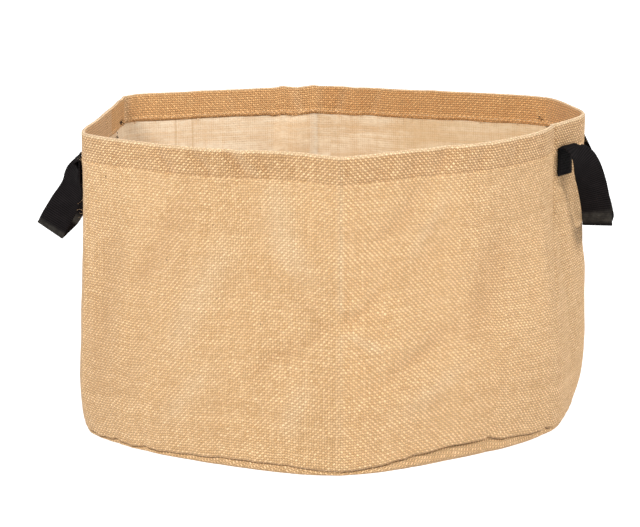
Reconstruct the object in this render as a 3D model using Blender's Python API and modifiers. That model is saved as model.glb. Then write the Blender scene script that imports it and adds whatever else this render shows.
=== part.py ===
"""A round jute grow bag standing open, with a turned hem and two webbing loop handles.

The bag is a tube of jute cloth sewn to a round base. Pack folds leave soft corners in it, so the
mouth stands as a rounded six-sided shape and the cloth is drawn in again over the base seam.
Sizes are in millimetres in the tables and are turned into metres where a mesh is made.
The origin is the centre of the whole thing on the floor, +Z is up and -Y is the front fold.
"""

import math
from collections import namedtuple

import bpy
from mathutils import Matrix, Vector

MM = 0.001

# Driving dimensions, in millimetres
BAG_HEIGHT = 300.0
CLOTH = 1.8
HEM_DEPTH = 30.0
HEM_THICKNESS = 4.1
HEM_PROUD = 0.7
SEAM_GAP = 0.5
SEAM_INSET = 2.4
WEBBING_WIDTH = 30.0
WEBBING = 1.6
PATCH_GAP = 0.35
SEWN_LOW_HEIGHT = 247.0
SEWN_TOP_HEIGHT = 272.5
TOP_FOLD_RADIUS = 4.0

# Each fold or bulge round the wall, seen from above and counted from the front fold towards +X.
# The radii are from the bag's middle at the rim, at the belly and at the base seam. swell is the
# height of the belly, seam the height of the base seam, and rim_lift how far the rim stands over
# or under its height. crease runs from 0, a smooth bend, to 1, a sharp corner.
Fold = namedtuple("Fold", "name angle rim belly foot swell rim_lift seam crease")
FOLDS = [
    Fold("front fold", 1.4, 241, 257, 260, 60, -1.6, 4.0, 0.8),
    Fold("front right, first", 13, 228, 246, 250, 60, 0.0, 8.0, 0.0),
    Fold("front right, second", 25, 215, 233, 235, 60, 0.4, 14.0, 0.0),
    Fold("front right corner", 39, 215, 230, 228, 70, 0.0, 14.0, 0.35),
    Fold("front right, third", 55, 215, 234, 232, 75, -0.4, 8.5, 0.0),
    Fold("right bulge", 69, 221, 240, 237, 75, 0.0, 4.5, 0.2),
    Fold("right crease", 81, 224, 242, 237, 75, 0.0, 4.0, 0.55),
    Fold("right corner", 99, 260, 264, 242, 75, 0.5, 4.5, 0.45),
    Fold("right side", 111, 266, 264, 244, 75, 0.5, 5.5, 0.0),
    Fold("back right corner", 123, 275, 266, 247, 75, 1.5, 5.5, 0.5),
    Fold("back right, first", 142, 238, 246, 245, 80, 2.0, 7.0, 0.0),
    Fold("back right, second", 161, 232, 243, 246, 80, 1.0, 8.0, 0.0),
    Fold("back fold", 183, 250, 253, 252, 70, 0.8, 5.0, 0.6),
    Fold("back left, first", 201, 243, 247, 247, 70, 0.8, 7.0, 0.0),
    Fold("back left, second", 218, 255, 253, 246, 80, 0.8, 7.0, 0.0),
    Fold("back left corner", 230, 275, 264, 246, 80, 1.5, 5.5, 0.5),
    Fold("left side, back", 249, 244, 250, 245, 70, 0.0, 5.0, 0.0),
    Fold("left side, front", 272, 237, 250, 247, 60, -0.5, 4.5, 0.0),
    Fold("left corner", 292, 261, 265, 256, 55, 0.0, 3.5, 0.75),
    Fold("front left, first", 309, 240, 251, 248, 55, 0.0, 3.5, 0.0),
    Fold("front left corner", 326, 230, 242, 243, 60, 0.0, 5.5, 0.35),
    Fold("front left, second", 343, 220, 246, 249, 60, 0.0, 8.5, 0.0),
    Fold("front left, third", 353, 225, 254, 258, 60, 0.0, 7.0, 0.0),
]

# Soft dents and bulges of the standing cloth. Angle and height place the middle of each, spread
# is its half width round the wall, tall its half height, and depth is how far it stands out.
# lean tips it to a slanting fold, in millimetres round the wall for each millimetre up.
Dent = namedtuple("Dent", "angle height spread tall lean depth")
DENTS = [
    Dent(5, 165, 38, 60, 0.0, -3.0),
    Dent(17, 110, 44, 46, 0.3, 2.5),
    Dent(352, 120, 40, 50, 0.2, -2.5),
    Dent(338, 235, 38, 40, -0.4, -2.5),
    Dent(320, 60, 60, 40, 0.0, 3.0),
    Dent(36, 60, 70, 40, 0.1, 2.5),
    Dent(58, 200, 40, 80, 0.1, -2.0),
    Dent(150, 180, 50, 90, 0.2, -3.5),
    Dent(196, 150, 40, 90, -0.2, 3.5),
    Dent(262, 120, 60, 80, 0.0, -3.0),
    Dent(118, 110, 34, 70, 0.1, -2.5),
]

# One leg of a handle, from its top fold down to the bottom bend, where the other leg mirrors it.
# aside is the way along the wall towards the handle's middle, out the way from the wall, and up
# the height over the floor. turn is the twist of the width from 0, flat on the wall, to 90, edge
# on to it, and lean is how far the turned width then tips down from level.
Station = namedtuple("Station", "name aside out up turn lean")
SPRUNG_LEG = [
    Station("over the fold", -6, 14, 272, 10, 0),
    Station("shoulder", -2, 23, 259, 38, 0),
    Station("upper leg", 8, 30, 238, 68, 0),
    Station("lower leg", 17, 35.5, 214, 88, 0),
    Station("into the bend", 22, 37, 201, 90, 0),
    Station("bend", 29, 38, 194, 90, 0),
    Station("out of the bend", 39, 38, 191.5, 90, 0),
]
HANGING_LEG = [
    Station("over the fold", -2, 9, 271, 4, 0),
    Station("shoulder", 1, 13, 257, 22, 0),
    Station("upper leg", 6, 18, 239, 54, 0),
    Station("lower leg", 13, 26, 218, 80, 0),
    Station("into the bend", 20, 33, 203, 90, 0),
    Station("bend", 29, 36.5, 194.5, 90, 0),
    Station("out of the bend", 40, 38, 191.5, 90, 0),
]
SWUNG_LEG = [
    Station("over the fold", 2, 8, 269, 6, 0),
    Station("shoulder", 5, 11, 256, 30, 10),
    Station("upper leg", 9, 14.5, 239, 56, 22),
    Station("lower leg", 13, 24, 222, 80, 31),
    Station("into the bend", 16, 33.5, 206, 90, 34),
    Station("bend", 22, 38, 198, 90, 34),
    Station("out of the bend", 31, 40, 195.5, 90, 34),
]

# Where each handle is sewn: the wall angles of the middles of its front and back ends.
Handle = namedtuple("Handle", "name front_end back_end front_leg back_leg")
HANDLES = [
    Handle("handle_right", 85.0, 112.5, SPRUNG_LEG, HANGING_LEG),
    Handle("handle_left", 286.5, 257.5, SWUNG_LEG, SWUNG_LEG),
]

JUTE = (0.66, 0.42, 0.20)
BASE_JUTE = (0.62, 0.39, 0.18)
BLACK = (0.015, 0.014, 0.015)


def clear_scene():
    for thing in list(bpy.data.objects):
        bpy.data.objects.remove(thing)


def cloth_material(name, colour, roughness):
    finish = bpy.data.materials.new(name)
    finish.use_nodes = True
    shader = finish.node_tree.nodes["Principled BSDF"]
    shader.inputs["Base Color"].default_value = (*colour, 1.0)
    shader.inputs["Roughness"].default_value = roughness
    shader.inputs["Metallic"].default_value = 0.0
    return finish


# The outline of the wall

COLUMN_ANGLE = 4.6
STRAIGHT_FROM = 0.7


def smooth_step(t):
    t = min(1.0, max(0.0, t))
    return t * t * (3 - 2 * t)


def slopes(values, angles):
    """The slope into and out of each fold, kinked at the folds that are creased."""
    into, out_of = [], []
    count = len(FOLDS)
    for i, fold in enumerate(FOLDS):
        before, after = (i - 1) % count, (i + 1) % count
        run_before = (angles[i] - angles[before]) % 360.0
        run_after = (angles[after] - angles[i]) % 360.0
        slope_before = (values[i] - values[before]) / run_before
        slope_after = (values[after] - values[i]) / run_after
        smooth = (slope_before * run_after + slope_after * run_before) / (run_before + run_after)
        into.append(smooth + (slope_before - smooth) * fold.crease)
        out_of.append(smooth + (slope_after - smooth) * fold.crease)
    return into, out_of


def around(name):
    """A function of the wall angle that runs through one column of the fold table."""
    angles = [fold.angle for fold in FOLDS]
    values = [float(getattr(fold, name)) for fold in FOLDS]
    into, out_of = slopes(values, angles)

    def value(angle):
        past = [(angle - start) % 360.0 for start in angles]
        i = past.index(min(past))
        j = (i + 1) % len(FOLDS)
        run = (angles[j] - angles[i]) % 360.0
        t = past[i] / run
        return (values[i] * (2 * t**3 - 3 * t**2 + 1)
                + values[j] * (3 * t**2 - 2 * t**3)
                + out_of[i] * run * (t**3 - 2 * t**2 + t)
                + into[j] * run * (t**3 - t**2))

    return value


AROUND = {name: around(name) for name in ("rim", "belly", "foot", "swell", "rim_lift", "seam")}


def column_angles():
    """The wall angles of the mesh columns: one on every fold, and even steps between them."""
    angles = []
    for fold, following in zip(FOLDS, FOLDS[1:] + FOLDS[:1]):
        run = (following.angle - fold.angle) % 360.0
        steps = max(2, round(run / COLUMN_ANGLE))
        angles += [fold.angle + run * k / steps for k in range(steps)]
    return angles


COLUMNS = column_angles()


def dent_depth(angle, height):
    """How far the soft dents push the cloth out at a place on the wall."""
    radius = AROUND["belly"](angle)
    total = 0.0
    for dent in DENTS:
        aside = math.radians((angle - dent.angle + 180.0) % 360.0 - 180.0) * radius
        rise = height - dent.height
        across = (aside - dent.lean * rise) / dent.spread
        along = rise / dent.tall
        total += dent.depth * math.exp(-across * across - along * along)
    return total * smooth_step(height / 40.0) * smooth_step((BAG_HEIGHT + 30.0 - height) / 60.0)


def wall_radius(angle, height):
    """The radius of the wall's outer face, rounded up to the belly and then easing to the rim."""
    seam = AROUND["seam"](angle)
    foot = AROUND["foot"](angle)
    belly = AROUND["belly"](angle)
    swell = AROUND["swell"](angle)
    if height <= swell:
        share = min(1.0, max(0.0, (height - seam) / (swell - seam)))
        radius = foot + (belly - foot) * math.sqrt(1.0 - (1.0 - share) ** 2)
    else:
        share = (height - swell) / (BAG_HEIGHT - swell)
        radius = belly + (AROUND["rim"](angle) - belly) * smooth_step(share / STRAIGHT_FROM)
    return radius + dent_depth(angle, height)


def wall_point(angle, height):
    turn = math.radians(angle)
    radius = wall_radius(angle, height)
    return Vector((radius * math.sin(turn), -radius * math.cos(turn), height))


def wall_along(angle, height):
    """The level direction along the wall, towards larger angles."""
    step = 1.5
    return (wall_point(angle + step, height) - wall_point(angle - step, height)).normalized()


def wall_normal(angle, height):
    """The level direction that faces away from the wall's outer face."""
    return wall_along(angle, height).cross(Vector((0, 0, 1)))


# Meshes from rings of points

def mesh_object(name, points, faces, finish, collection):
    mesh = bpy.data.meshes.new(name)
    mesh.from_pydata([point * MM for point in points], [], faces)
    mesh.shade_smooth()
    mesh.materials.append(finish)
    made = bpy.data.objects.new(name, mesh)
    collection.objects.link(made)
    return made


def ring_faces(rings, around_count):
    """The four-sided faces that join closed rings of points, one ring after another."""
    faces = []
    for ring in range(rings - 1):
        for i in range(around_count):
            j = (i + 1) % around_count
            low, high = ring * around_count, (ring + 1) * around_count
            faces.append((low + i, low + j, high + j, high + i))
    return faces


def thicken(sheet):
    """Gives an open sheet the cloth's thickness, behind its face."""
    solid = sheet.modifiers.new("cloth thickness", "SOLIDIFY")
    solid.thickness = CLOTH * MM
    solid.offset = -1.0


# The wall, with its hem

FOOT_SHARES = (0.05, 0.16, 0.36, 0.65, 1.0)
WALL_HEIGHTS = (125.0, 165.0, 205.0, 240.0)
HEM_TURN_STEPS = 4
HEM_STEP = 4.0


def hem_ring(down, inside):
    """A ring of the hem, which goes over the rim and then down inside it."""
    ring = []
    for angle in COLUMNS:
        height = BAG_HEIGHT + AROUND["rim_lift"](angle) - down
        point = wall_point(angle, min(height, BAG_HEIGHT))
        point.z = height
        ring.append(point + wall_normal(angle, BAG_HEIGHT) * (HEM_PROUD - inside))
    return ring


def wall_rings():
    """The rings of the wall's outer face: up from the seam, over the rim and down inside."""
    seams = [AROUND["seam"](angle) for angle in COLUMNS]
    feet = [wall_point(angle, seam) for angle, seam in zip(COLUMNS, seams)]
    normals = [wall_normal(angle, seam) for angle, seam in zip(COLUMNS, seams)]
    rings = [[foot - normal * SEAM_INSET for foot, normal in zip(feet, normals)]]
    for share in FOOT_SHARES:
        ring = []
        for angle, seam in zip(COLUMNS, seams):
            ring.append(wall_point(angle, seam + (AROUND["swell"](angle) - seam) * share))
        rings.append(ring)
    for height in WALL_HEIGHTS:
        rings.append([wall_point(angle, height) for angle in COLUMNS])
    turn_radius = HEM_THICKNESS / 2.0
    rings.append(hem_ring(HEM_DEPTH + HEM_STEP, HEM_PROUD))
    for down in (HEM_DEPTH, HEM_DEPTH / 2.0, turn_radius):
        rings.append(hem_ring(down, 0.0))
    for step in range(1, HEM_TURN_STEPS):
        turn = math.pi * step / HEM_TURN_STEPS
        rings.append(hem_ring(turn_radius * (1 - math.sin(turn)),
                              turn_radius * (1 - math.cos(turn))))
    for down in (turn_radius, HEM_DEPTH / 2.0, HEM_DEPTH):
        rings.append(hem_ring(down, HEM_THICKNESS))
    return rings


def build_wall(finish, collection):
    rings = wall_rings()
    points = [point for ring in rings for point in ring]
    faces = ring_faces(len(rings), len(COLUMNS))
    thicken(mesh_object("bag_wall", points, faces, finish, collection))


# The round base, whose edge turns up to the seam

# Each step of the turned-up edge is a share of the seam's height and an inset from the wall.
BASE_EDGE = ((1.0, SEAM_INSET + 0.2), (0.6, SEAM_INSET + 0.2), (0.2, SEAM_INSET + 0.7))
FLAT_INSET = SEAM_INSET + 2.0
HEEL_SLOPE = 0.1
BASE_MIDDLE_SHARES = (0.85, 0.5)


def build_base(finish, collection):
    seams = [AROUND["seam"](angle) for angle in COLUMNS]
    feet = [wall_point(angle, seam) for angle, seam in zip(COLUMNS, seams)]
    normals = [wall_normal(angle, seam) for angle, seam in zip(COLUMNS, seams)]
    rings = []
    for share, inset in BASE_EDGE:
        ring = []
        for foot, normal, seam in zip(feet, normals, seams):
            lowered = Vector((0, 0, (seam - SEAM_GAP) * share - seam))
            ring.append(foot - normal * inset + lowered)
        rings.append(ring)
    flat = []
    for foot, normal, seam in zip(feet, normals, seams):
        flat.append(foot - normal * (FLAT_INSET + seam * HEEL_SLOPE) - Vector((0, 0, seam)))
    rings.append(flat)
    for share in BASE_MIDDLE_SHARES:
        rings.append([point * share for point in flat])
    points = [point for ring in rings for point in ring]
    faces = [tuple(reversed(face)) for face in ring_faces(len(rings), len(COLUMNS))]
    innermost = (len(rings) - 1) * len(COLUMNS)
    faces.append(tuple(reversed(range(innermost, innermost + len(COLUMNS)))))
    thicken(mesh_object("bag_base", points, faces, finish, collection))


# The webbing handles

FOLD_STEPS = 5
SPAN_STEPS = 3
UP = Vector((0, 0, 1))


def smooth_line(points):
    """A smooth line through points, with SPAN_STEPS steps between each two."""
    ends = [points[0] * 2 - points[1], *points, points[-1] * 2 - points[-2]]
    line = []
    for a, b, c, d in zip(ends, ends[1:], ends[2:], ends[3:]):
        for k in range(SPAN_STEPS):
            t = k / SPAN_STEPS
            line.append(0.5 * (2 * b + (c - a) * t + (2 * a - 5 * b + 4 * c - d) * t**2
                               + (3 * b - a - 3 * c + d) * t**3))
    line.append(points[-1].copy())
    return line


def sewn_seat(angle, top, normal):
    """How far out the webbing's middle lies so that it just clears the wall behind its end."""
    half_turn = math.degrees(WEBBING_WIDTH / 2.0 / top.xy.length)
    proudest = 0.0
    for across in (-1.0, -0.5, 0.0, 0.5, 1.0):
        for height in (SEWN_LOW_HEIGHT, SEWN_TOP_HEIGHT):
            place = wall_point(angle + half_turn * across, height)
            proudest = max(proudest, (place - top).dot(normal))
    return proudest + HEM_PROUD + PATCH_GAP + WEBBING / 2.0


# One end of a handle: the places of its sewn stretch up to the top fold, the width's direction
# there, and the places and width directions of its hanging leg.
HandleEnd = namedtuple("HandleEnd", "sewn along leg leg_widths")


def handle_end(end_angle, other_angle, leg):
    low = wall_point(end_angle, SEWN_LOW_HEIGHT)
    top = wall_point(end_angle, SEWN_TOP_HEIGHT)
    normal = wall_normal(end_angle, SEWN_TOP_HEIGHT)
    aside = (wall_point(other_angle, SEWN_TOP_HEIGHT) - top).normalized()
    out = aside.cross(UP)
    if out.dot(normal) < 0:
        out = -out
    along = wall_along(end_angle, SEWN_TOP_HEIGHT)
    if along.dot(aside) < 0:
        along = -along
    face = top + normal * sewn_seat(end_angle, top, normal)
    sewn = [face + UP * (low.z - top.z), face + UP * (low.z - top.z) / 2]
    for step in range(FOLD_STEPS + 1):
        turn = math.pi / 2 * step / FOLD_STEPS
        sewn.append(face + normal * TOP_FOLD_RADIUS * (1 - math.cos(turn))
                    + UP * TOP_FOLD_RADIUS * math.sin(turn))
    places, widths = [], []
    for station in leg:
        place = top + aside * station.aside + out * station.out
        place.z = station.up
        places.append(place)
        turn = math.radians(station.turn)
        lean = math.radians(station.lean)
        edge_on = out * math.cos(lean) + UP * math.sin(lean)
        widths.append(along * math.cos(turn) + edge_on * math.sin(turn))
    return HandleEnd(sewn, along, places, widths)


def build_handle(handle, finish, collection):
    front = handle_end(handle.front_end, handle.back_end, handle.front_leg)
    back = handle_end(handle.back_end, handle.front_end, handle.back_leg)
    free = smooth_line([front.sewn[-1], *front.leg, *back.leg[::-1], back.sewn[-1]])
    free_widths = smooth_line([front.along, *front.leg_widths, *back.leg_widths[::-1], back.along])
    line = front.sewn[:-1] + free + back.sewn[-2::-1]
    widths = [front.along] * (len(front.sewn) - 1) + free_widths
    widths += [back.along] * (len(back.sewn) - 1)
    points, faces = [], []
    last = len(line) - 1
    for i, (point, width) in enumerate(zip(line, widths)):
        ahead = (line[min(i + 1, last)] - line[max(i - 1, 0)]).normalized()
        across = (width - ahead * width.dot(ahead)).normalized() * WEBBING_WIDTH / 2
        deep = ahead.cross(across).normalized() * WEBBING / 2
        points += [point - across - deep, point + across - deep,
                   point + across + deep, point - across + deep]
    for i in range(last):
        for k in range(4):
            j = (k + 1) % 4
            faces.append((4 * i + k, 4 * i + j, 4 * i + 4 + j, 4 * i + 4 + k))
    faces += [(3, 2, 1, 0), tuple(4 * last + k for k in range(4))]
    mesh_object(handle.name, points, faces, finish, collection)


def centre_on_floor(parts):
    """Moves every mesh so that the middle of the whole bag stands at the origin."""
    corners = [vertex.co for part in parts for vertex in part.data.vertices]
    low = Vector([min(corner[axis] for corner in corners) for axis in range(3)])
    high = Vector([max(corner[axis] for corner in corners) for axis in range(3)])
    shift = Vector((-(low.x + high.x) / 2, -(low.y + high.y) / 2, -low.z))
    for part in parts:
        part.data.transform(Matrix.Translation(shift))


def build_bag():
    clear_scene()
    collection = bpy.data.collections.new("jute grow bag")
    bpy.context.scene.collection.children.link(collection)
    build_wall(cloth_material("jute cloth", JUTE, 0.95), collection)
    build_base(cloth_material("jute base cloth", BASE_JUTE, 0.95), collection)
    webbing = cloth_material("black webbing", BLACK, 0.75)
    for handle in HANDLES:
        build_handle(handle, webbing, collection)
    centre_on_floor(list(collection.objects))


build_bag()
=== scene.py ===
"""The finish of a round jute grow bag: its woven cloth, turned hem, sewn base and webbing handles.

The script is read from top to bottom, in the order in which the bag is put together. All sizes are
in metres. Angles round the bag are counted from its front fold towards +X, +Z is up, and the bag
stands on the floor at height 0.
"""

import math
import random
from collections import namedtuple

import bmesh
import bpy
import numpy as np
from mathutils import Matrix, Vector
from mathutils.bvhtree import BVHTree


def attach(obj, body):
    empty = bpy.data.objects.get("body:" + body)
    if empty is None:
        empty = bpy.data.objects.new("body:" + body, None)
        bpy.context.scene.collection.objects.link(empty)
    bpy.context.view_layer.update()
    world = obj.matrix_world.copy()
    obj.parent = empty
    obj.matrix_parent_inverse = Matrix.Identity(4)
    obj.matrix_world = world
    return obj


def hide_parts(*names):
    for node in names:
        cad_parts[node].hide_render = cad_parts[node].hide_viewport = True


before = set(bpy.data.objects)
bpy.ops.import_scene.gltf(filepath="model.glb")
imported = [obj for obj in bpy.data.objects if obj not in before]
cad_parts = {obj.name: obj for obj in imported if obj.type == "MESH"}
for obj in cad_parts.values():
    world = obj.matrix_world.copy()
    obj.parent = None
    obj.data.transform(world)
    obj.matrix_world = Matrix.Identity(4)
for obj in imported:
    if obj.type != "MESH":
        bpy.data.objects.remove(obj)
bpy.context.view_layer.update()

for thing in bpy.context.selected_objects:
    thing.select_set(False)


# The wall
# One tube of coarse plain-woven jute, 300 mm high and about 1570 mm round, backed with a thin pale
# film. Its top edge is turned 30 mm to the inside and stitched down, and its lower edge is eased
# on to the base, which leaves small puckers. Pack folds show as soft upright creases.

# The bag's upright middle line, and the radius that turns angles round the bag into widths.
BAG_MIDDLE = Vector((-0.00035, 0.00314, 0.0))
MEAN_RADIUS = 0.24
WALL_HEIGHT = 0.3
CLOTH = 0.0017
HEM_DEPTH = 0.030
HEM_THICKNESS = 0.0041
YARNS_ROUND = 638
YARN_PITCH = 0.00246
MILLIMETRE = 0.001
# The wall's lower edge rolls in over the seam: how far up the roll reaches, and how far in.
SEAM_ROLL = 0.0036
SEAM_INSET = 0.0026
# The rays that measure the solid start this far out, and are this long.
FAR_OUT, RAY_LENGTH = 0.4, 0.3
# The columns of the cloth's meshes are counted from the back.
COLUMNS = 420
BACK = math.pi

column_numbers = np.arange(COLUMNS)
column_angles = BACK + column_numbers * 2.0 * math.pi / COLUMNS


def solid_tree(node):
    """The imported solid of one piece, as a tree that rays can be cast at."""
    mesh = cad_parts[node].data
    corners = [vertex.co for vertex in mesh.vertices]
    return BVHTree.FromPolygons(corners, [tuple(face.vertices) for face in mesh.polygons])


wall_tree = solid_tree("bag_wall")


def away(angle):
    """The level direction from the bag's middle at an angle."""
    return Vector((math.sin(angle), -math.cos(angle), 0.0))


def solid_radius(angle, height):
    """How far the solid's outer face is from the bag's middle, or None where there is none."""
    start = BAG_MIDDLE + away(angle) * FAR_OUT + Vector((0.0, 0.0, height))
    place, _, _, distance = wall_tree.ray_cast(start, -away(angle), RAY_LENGTH)
    return None if place is None else FAR_OUT - distance


def smoothed(values, width, axis=-1, closed=True):
    """Values eased along one axis by a bell of that width, counted in steps."""
    reach = max(1, math.ceil(3 * width))
    bell = np.exp(-0.5 * (np.arange(-reach, reach + 1) / width) ** 2)
    bell /= bell.sum()
    ends = [(0, 0)] * values.ndim
    ends[axis] = (reach, reach)
    padded = np.pad(values, ends, mode="wrap" if closed else "edge")
    return np.apply_along_axis(lambda line: np.convolve(line, bell, "valid"), axis, padded)


def filled(values):
    """Values round the bag with the missing ones read from their neighbours."""
    known = np.flatnonzero(~np.isnan(values))
    steps = np.arange(len(values))
    return np.interp(steps, known, values[known], period=len(values))


def turned_from(angle_deg):
    """The angle of each column from a place, in radians from minus to plus half a turn."""
    return (column_angles - math.radians(angle_deg) + math.pi) % (2 * math.pi) - math.pi


LOWEST_SEAM, HIGHEST_SEAM, SEAM_STEP = 0.002, 0.018, 0.00025
RIM_PROBE, LOWEST_RIM = 0.292, 0.29


def solid_seam(angle):
    """The height at which the solid wall begins over the base."""
    for height in np.arange(LOWEST_SEAM, HIGHEST_SEAM, SEAM_STEP):
        if solid_radius(angle, height) is not None:
            return height
    return float("nan")


def solid_rim(angle):
    """The height of the solid's rim."""
    radius = solid_radius(angle, RIM_PROBE) or MEAN_RADIUS
    start = BAG_MIDDLE + away(angle) * (radius - HEM_THICKNESS / 2) + Vector((0.0, 0.0, FAR_OUT))
    place = wall_tree.ray_cast(start, Vector((0.0, 0.0, -1.0)), FAR_OUT)[0]
    return float("nan") if place is None or place.z < LOWEST_RIM else place.z


EDGE_EASE, FACE_EASE = 1.6, 1.3
seam_heights = smoothed(filled(np.array([solid_seam(angle) for angle in column_angles])), EDGE_EASE)
rim_heights = smoothed(filled(np.array([solid_rim(angle) for angle in column_angles])), EDGE_EASE)

# The rim isn't cut with a ruler: it rises and dips a little, most of all beside the back fold. The
# angle of each kink, with its half width and its lift in millimetres.
RIM_KINKS = ((192.5, 5.0, 1.4), (188.6, 4.0, -1.1), (184.6, 4.5, 1.1), (174.0, 7.0, -0.7),
             (152.0, 9.0, 0.5), (214.0, 9.0, 0.5), (25.0, 9.0, -0.5), (337.0, 7.0, -0.7))
for angle_deg, half_width, lift in RIM_KINKS:
    aside = turned_from(angle_deg) * MEAN_RADIUS / (half_width * MILLIMETRE)
    rim_heights = rim_heights + lift * MILLIMETRE * np.exp(-aside**2)

# The solid's outer face is measured at this many heights, from over the seam to under the rim.
MEASURED = 96
lowest_measured = seam_heights + SEAM_ROLL
highest_measured = rim_heights - HEM_THICKNESS / 2
measured_radii = []
for share in np.linspace(0.0, 1.0, MEASURED):
    ring = []
    for column, angle in enumerate(column_angles):
        height = lowest_measured[column] * (1 - share) + highest_measured[column] * share
        found = solid_radius(angle, height)
        ring.append(float("nan") if found is None else found)
    measured_radii.append(filled(np.array(ring)))
measured_radii = smoothed(np.array(measured_radii), FACE_EASE)
measured_radii = smoothed(measured_radii, FACE_EASE, axis=0, closed=False)

# Creases, dents and ridges pressed into the cloth, finer than those of the solid. angle and height
# place the middle, slant is the lean from upright towards larger angles in degrees, width and
# length are half sizes, and depth is how far it stands out. All but the angles are millimetres.
Crease = namedtuple("Crease", "name angle height slant width length depth")
CREASES = [
    Crease("front pack fold", 1.6, 215, 0, 3.2, 95, 1.8),
    Crease("front pack fold, lower", 1.4, 70, 0, 3.4, 65, 1.0),
    Crease("front fold, right trough", 5.6, 225, 0, 6, 90, -0.7),
    Crease("dimple on the front fold", 2.5, 143, 0, 6, 9, -2.0),
    Crease("fold up from the dimple", 7.5, 154, 52, 4.5, 20, -1.3),
    Crease("ridge over that fold", 7.0, 166, 50, 4.5, 20, 1.3),
    Crease("second fold up from the dimple", 11.0, 178, 42, 5, 24, -1.1),
    Crease("fold down from the dimple", 354.0, 124, 50, 6.5, 30, -1.5),
    Crease("ridge under the dimple", 6.5, 126, -58, 6, 22, 1.8),
    Crease("slack left of the dimple", 352.0, 166, -46, 7.5, 40, -1.5),
    Crease("ridge beside that slack", 355.0, 186, -36, 9, 34, 0.5),
    Crease("swell left of the fold", 348.0, 222, -12, 20, 56, 1.8),
    Crease("smudge low on the left", 346.0, 106, 48, 6, 26, -1.8),
    Crease("swell low on the left", 352.0, 62, 20, 13, 30, 1.6),
    Crease("left hem dent", 335.6, 287, -42, 4.5, 19, -2.9),
    Crease("left hem ridge", 338.8, 289, -42, 3.8, 17, 1.6),
    Crease("second left hem dent", 343.0, 285, -44, 4.5, 15, -1.9),
    Crease("third left hem dent", 350.0, 286, -40, 5.0, 15, -1.1),
    Crease("fourth left hem dent", 327.0, 285, -42, 4.5, 16, -2.3),
    Crease("far left hem dent", 317.0, 283, -42, 5.0, 16, -2.2),
    Crease("right hem dent", 29.6, 290, 30, 9, 17, -2.2),
    Crease("right hem dent, second", 20.0, 283, 34, 7, 15, -1.3),
    Crease("right hem dent, third", 41.0, 284, 34, 6, 15, -1.2),
    Crease("right hem dent, fourth", 55.0, 285, 30, 6, 15, -1.0),
    Crease("right hem hollow", 11.5, 283, 8, 8, 15, -1.2),
    Crease("right corner fold", 80.2, 262, 0, 2.8, 60, -1.9),
    Crease("right corner fold, lower", 75.5, 175, 28, 3.4, 70, -0.9),
    Crease("right edge line", 94.0, 215, 0, 2.4, 110, 0.7),
    Crease("left corner fold", 292.5, 160, 2, 3.0, 150, 0.8),
    Crease("right slack from the hem", 16.0, 235, 48, 8, 42, -1.3),
    Crease("right slack ridge", 24.0, 226, 40, 9, 40, 1.3),
    Crease("right middle hollow", 43.0, 165, 30, 24, 56, -2.1),
    Crease("right middle swell", 66.0, 165, 12, 16, 60, 0.5),
    Crease("lower right swell", 24.0, 74, 62, 13, 50, 1.3),
    Crease("lower right hollow", 19.0, 104, 62, 9, 50, -1.8),
    Crease("lower right fold", 30.0, 128, -64, 9, 46, -0.8),
    Crease("left slack", 316.0, 205, 34, 16, 60, -1.9),
    Crease("left swell", 328.0, 160, 26, 20, 70, 1.6),
    Crease("lower left hollow", 309.0, 92, 20, 18, 50, -1.3),
    Crease("lower left swell", 326.0, 66, 40, 13, 40, 1.4),
    Crease("left edge hollow", 299.0, 125, 4, 22, 100, -2.2),
    Crease("back fold", 183.0, 150, 0, 3.0, 190, 1.3),
    Crease("back fold, hem kink left", 188.5, 285, 16, 6, 20, 1.3),
    Crease("back fold, hem kink right", 177.5, 285, -16, 6, 20, 1.1),
    Crease("back slack", 205.0, 190, 50, 12, 60, -1.6),
    Crease("back slack, low", 214.0, 100, -40, 12, 50, 1.5),
    Crease("back slack, right", 160.0, 150, -48, 12, 60, 1.7),
    Crease("back slack, far right", 147.0, 215, 40, 10, 45, -1.4),
    Crease("back left edge line", 232.0, 150, 0, 3.0, 130, 0.9),
    Crease("back left corner of the hem", 233.8, 290, 0, 6.5, 40, 2.4),
    Crease("left hem, inner fold mark", 258.0, 286, 8, 4.0, 18, -0.7),
    Crease("back hem, left kink", 206.0, 286, 20, 4.0, 17, 0.8),
    Crease("back hem, right kink", 168.0, 286, -24, 4.5, 17, 0.9),
    Crease("back right edge line", 123.0, 160, 0, 2.6, 150, 0.9),
    Crease("left side slack", 266.0, 130, 42, 12, 55, -1.4),
    Crease("right side slack", 103.0, 120, -40, 12, 50, 1.3),
]

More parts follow.
